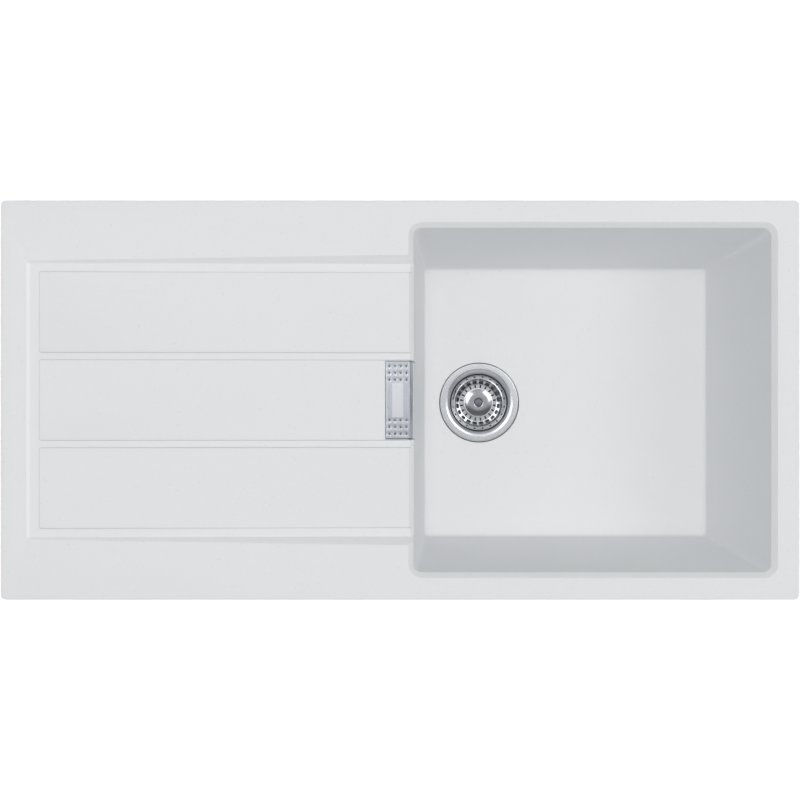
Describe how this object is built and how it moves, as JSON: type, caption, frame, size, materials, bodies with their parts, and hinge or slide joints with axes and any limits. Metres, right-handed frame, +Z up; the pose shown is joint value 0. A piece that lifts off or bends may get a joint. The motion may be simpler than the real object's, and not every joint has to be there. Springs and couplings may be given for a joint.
{
  "type": "kitchen sink",
  "caption": "Inset composite kitchen sink with a deep bowl, a sloping ribbed drainer, a basket strainer waste, a covered overflow with its hose, and fixing clips under the rim.",
  "frame": {"origin": "centre of the outline, in the plane of the lip's underside, which is the worktop's top face", "axes": "+X along the outline's long side from the drainer to the bowl, +Y across it, +Z up"},
  "size_m": [1, 0.5, 0.2929],
  "materials": {
    "composite": "matte speckled composite",
    "brushed_steel_trim": "brushed",
    "polished_steel": "polished",
    "zinc_plated_steel": "zinc plated",
    "brass": "turned",
    "white_plastic": "moulded",
    "grey_plastic": "moulded",
    "rubber": "moulded",
    "foam": "closed-cell foam strip"
  },
  "bodies": {
    "sink": {"sink_moulding": "composite", "rim_seal": "foam", "overflow_rose": "polished_steel", "overflow_screw": "zinc_plated_steel", "overflow_gasket": "rubber", "overflow_elbow": "white_plastic", "overflow_hose": "grey_plastic", "hose_nut_upper": "white_plastic", "hose_nut_lower": "white_plastic", "waste_flange": "brushed_steel_trim", "flange_gasket": "rubber", "body_gasket": "rubber", "waste_body": "white_plastic", "waste_insert": "brass", "waste_screw": "polished_steel", "clip_1_insert": "brass", "clip_2_insert": "brass", "clip_3_insert": "brass", "clip_4_insert": "brass", "clip_5_insert": "brass", "clip_6_insert": "brass", "clip_7_insert": "brass", "clip_8_insert": "brass"},
    "overflow_cover": {"overflow_cover": "brushed_steel_trim"},
    "basket_stem": {"basket_post": "brushed_steel_trim", "basket_clip": "white_plastic"},
    "basket": {"basket_cup": "polished_steel", "basket_cap": "polished_steel", "basket_seal": "rubber"},
    "clip_1_carriage": {"clip_1_washer": "zinc_plated_steel"},
    "clip_1_screw": {"clip_1_screw": "zinc_plated_steel"},
    "clip_1_claw": {"clip_1_claw": "zinc_plated_steel"},
    "clip_2_carriage": {"clip_2_washer": "zinc_plated_steel"},
    "clip_2_screw": {"clip_2_screw": "zinc_plated_steel"},
    "clip_2_claw": {"clip_2_claw": "zinc_plated_steel"},
    "clip_3_carriage": {"clip_3_washer": "zinc_plated_steel"},
    "clip_3_screw": {"clip_3_screw": "zinc_plated_steel"},
    "clip_3_claw": {"clip_3_claw": "zinc_plated_steel"},
    "clip_4_carriage": {"clip_4_washer": "zinc_plated_steel"},
    "clip_4_screw": {"clip_4_screw": "zinc_plated_steel"},
    "clip_4_claw": {"clip_4_claw": "zinc_plated_steel"},
    "clip_5_carriage": {"clip_5_washer": "zinc_plated_steel"},
    "clip_5_screw": {"clip_5_screw": "zinc_plated_steel"},
    "clip_5_claw": {"clip_5_claw": "zinc_plated_steel"},
    "clip_6_carriage": {"clip_6_washer": "zinc_plated_steel"},
    "clip_6_screw": {"clip_6_screw": "zinc_plated_steel"},
    "clip_6_claw": {"clip_6_claw": "zinc_plated_steel"},
    "clip_7_carriage": {"clip_7_washer": "zinc_plated_steel"},
    "clip_7_screw": {"clip_7_screw": "zinc_plated_steel"},
    "clip_7_claw": {"clip_7_claw": "zinc_plated_steel"},
    "clip_8_carriage": {"clip_8_washer": "zinc_plated_steel"},
    "clip_8_screw": {"clip_8_screw": "zinc_plated_steel"},
    "clip_8_claw": {"clip_8_claw": "zinc_plated_steel"}
  },
  "joints": [
    {"name": "cover_lift", "type": "slide", "parent": "sink", "child": "overflow_cover", "axis": [0, 0, 1], "range_m": [0, 0.04]},
    {"name": "basket_lift", "type": "slide", "parent": "sink", "child": "basket_stem", "axis": [0, 0, 1], "range_m": [0, 0.06]},
    {"name": "basket_turn", "type": "hinge", "parent": "basket_stem", "child": "basket", "pos_m": [0.1158, 0, -0.2], "axis": [0, 0, 1], "continuous": true},
    {"name": "clip_1_clamp", "type": "slide", "parent": "sink", "child": "clip_1_carriage", "axis": [0, 0, 1], "range_m": [0, 0.014]},
    {"name": "clip_1_turn", "type": "hinge", "parent": "clip_1_carriage", "child": "clip_1_screw", "pos_m": [-0.395, 0.232, -0.05], "axis": [0, 0, 1], "range_deg": [0, 5040]},
    {"name": "clip_1_swivel", "type": "hinge", "parent": "clip_1_carriage", "child": "clip_1_claw", "pos_m": [-0.395, 0.232, -0.05], "axis": [0, 0, 1], "range_deg": [0, 90]},
    {"name": "clip_2_clamp", "type": "slide", "parent": "sink", "child": "clip_2_carriage", "axis": [0, 0, 1], "range_m": [0, 0.014]},
    {"name": "clip_2_turn", "type": "hinge", "parent": "clip_2_carriage", "child": "clip_2_screw", "pos_m": [-0.13, 0.232, -0.05], "axis": [0, 0, 1], "range_deg": [0, 5040]},
    {"name": "clip_2_swivel", "type": "hinge", "parent": "clip_2_carriage", "child": "clip_2_claw", "pos_m": [-0.13, 0.232, -0.05], "axis": [0, 0, 1], "range_deg": [0, 90]},
    {"name": "clip_3_clamp", "type": "slide", "parent": "sink", "child": "clip_3_carriage", "axis": [0, 0, 1], "range_m": [0, 0.014]},
    {"name": "clip_3_turn", "type": "hinge", "parent": "clip_3_carriage", "child": "clip_3_screw", "pos_m": [0.28, 0.232, -0.05], "axis": [0, 0, 1], "range_deg": [0, 5040]},
    {"name": "clip_3_swivel", "type": "hinge", "parent": "clip_3_carriage", "child": "clip_3_claw", "pos_m": [0.28, 0.232, -0.05], "axis": [0, 0, 1], "range_deg": [0, 90]},
    {"name": "clip_4_clamp", "type": "slide", "parent": "sink", "child": "clip_4_carriage", "axis": [0, 0, 1], "range_m": [0, 0.014]},
    {"name": "clip_4_turn", "type": "hinge", "parent": "clip_4_carriage", "child": "clip_4_screw", "pos_m": [-0.482, 0, -0.05], "axis": [0, 0, 1], "range_deg": [0, 5040]},
    {"name": "clip_4_swivel", "type": "hinge", "parent": "clip_4_carriage", "child": "clip_4_claw", "pos_m": [-0.482, 0, -0.05], "axis": [0, 0, 1], "range_deg": [0, 90]},
    {"name": "clip_5_clamp", "type": "slide", "parent": "sink", "child": "clip_5_carriage", "axis": [0, 0, 1], "range_m": [0, 0.014]},
    {"name": "clip_5_turn", "type": "hinge", "parent": "clip_5_carriage", "child": "clip_5_screw", "pos_m": [-0.395, -0.232, -0.05], "axis": [0, 0, 1], "range_deg": [0, 5040]},
    {"name": "clip_5_swivel", "type": "hinge", "parent": "clip_5_carriage", "child": "clip_5_claw", "pos_m": [-0.395, -0.232, -0.05], "axis": [0, 0, 1], "range_deg": [0, 90]},
    {"name": "clip_6_clamp", "type": "slide", "parent": "sink", "child": "clip_6_carriage", "axis": [0, 0, 1], "range_m": [0, 0.014]},
    {"name": "clip_6_turn", "type": "hinge", "parent": "clip_6_carriage", "child": "clip_6_screw", "pos_m": [-0.13, -0.232, -0.05], "axis": [0, 0, 1], "range_deg": [0, 5040]},
    {"name": "clip_6_swivel", "type": "hinge", "parent": "clip_6_carriage", "child": "clip_6_claw", "pos_m": [-0.13, -0.232, -0.05], "axis": [0, 0, 1], "range_deg": [0, 90]},
    {"name": "clip_7_clamp", "type": "slide", "parent": "sink", "child": "clip_7_carriage", "axis": [0, 0, 1], "range_m": [0, 0.014]},
    {"name": "clip_7_turn", "type": "hinge", "parent": "clip_7_carriage", "child": "clip_7_screw", "pos_m": [0.28, -0.232, -0.05], "axis": [0, 0, 1], "range_deg": [0, 5040]},
    {"name": "clip_7_swivel", "type": "hinge", "parent": "clip_7_carriage", "child": "clip_7_claw", "pos_m": [0.28, -0.232, -0.05], "axis": [0, 0, 1], "range_deg": [0, 90]},
    {"name": "clip_8_clamp", "type": "slide", "parent": "sink", "child": "clip_8_carriage", "axis": [0, 0, 1], "range_m": [0, 0.014]},
    {"name": "clip_8_turn", "type": "hinge", "parent": "clip_8_carriage", "child": "clip_8_screw", "pos_m": [0.482, 0, -0.05], "axis": [0, 0, 1], "range_deg": [0, 5040]},
    {"name": "clip_8_swivel", "type": "hinge", "parent": "clip_8_carriage", "child": "clip_8_claw", "pos_m": [0.482, 0, -0.05], "axis": [0, 0, 1], "range_deg": [0, 90]}
  ],
  "couplings": [
    {"joint": "clip_1_turn", "follows": "clip_1_clamp", "rad_per_m": 6283.2},
    {"joint": "clip_2_turn", "follows": "clip_2_clamp", "rad_per_m": 6283.2},
    {"joint": "clip_3_turn", "follows": "clip_3_clamp", "rad_per_m": 6283.2},
    {"joint": "clip_4_turn", "follows": "clip_4_clamp", "rad_per_m": 6283.2},
    {"joint": "clip_5_turn", "follows": "clip_5_clamp", "rad_per_m": 6283.2},
    {"joint": "clip_6_turn", "follows": "clip_6_clamp", "rad_per_m": 6283.2},
    {"joint": "clip_7_turn", "follows": "clip_7_clamp", "rad_per_m": 6283.2},
    {"joint": "clip_8_turn", "follows": "clip_8_clamp", "rad_per_m": 6283.2}
  ]
}
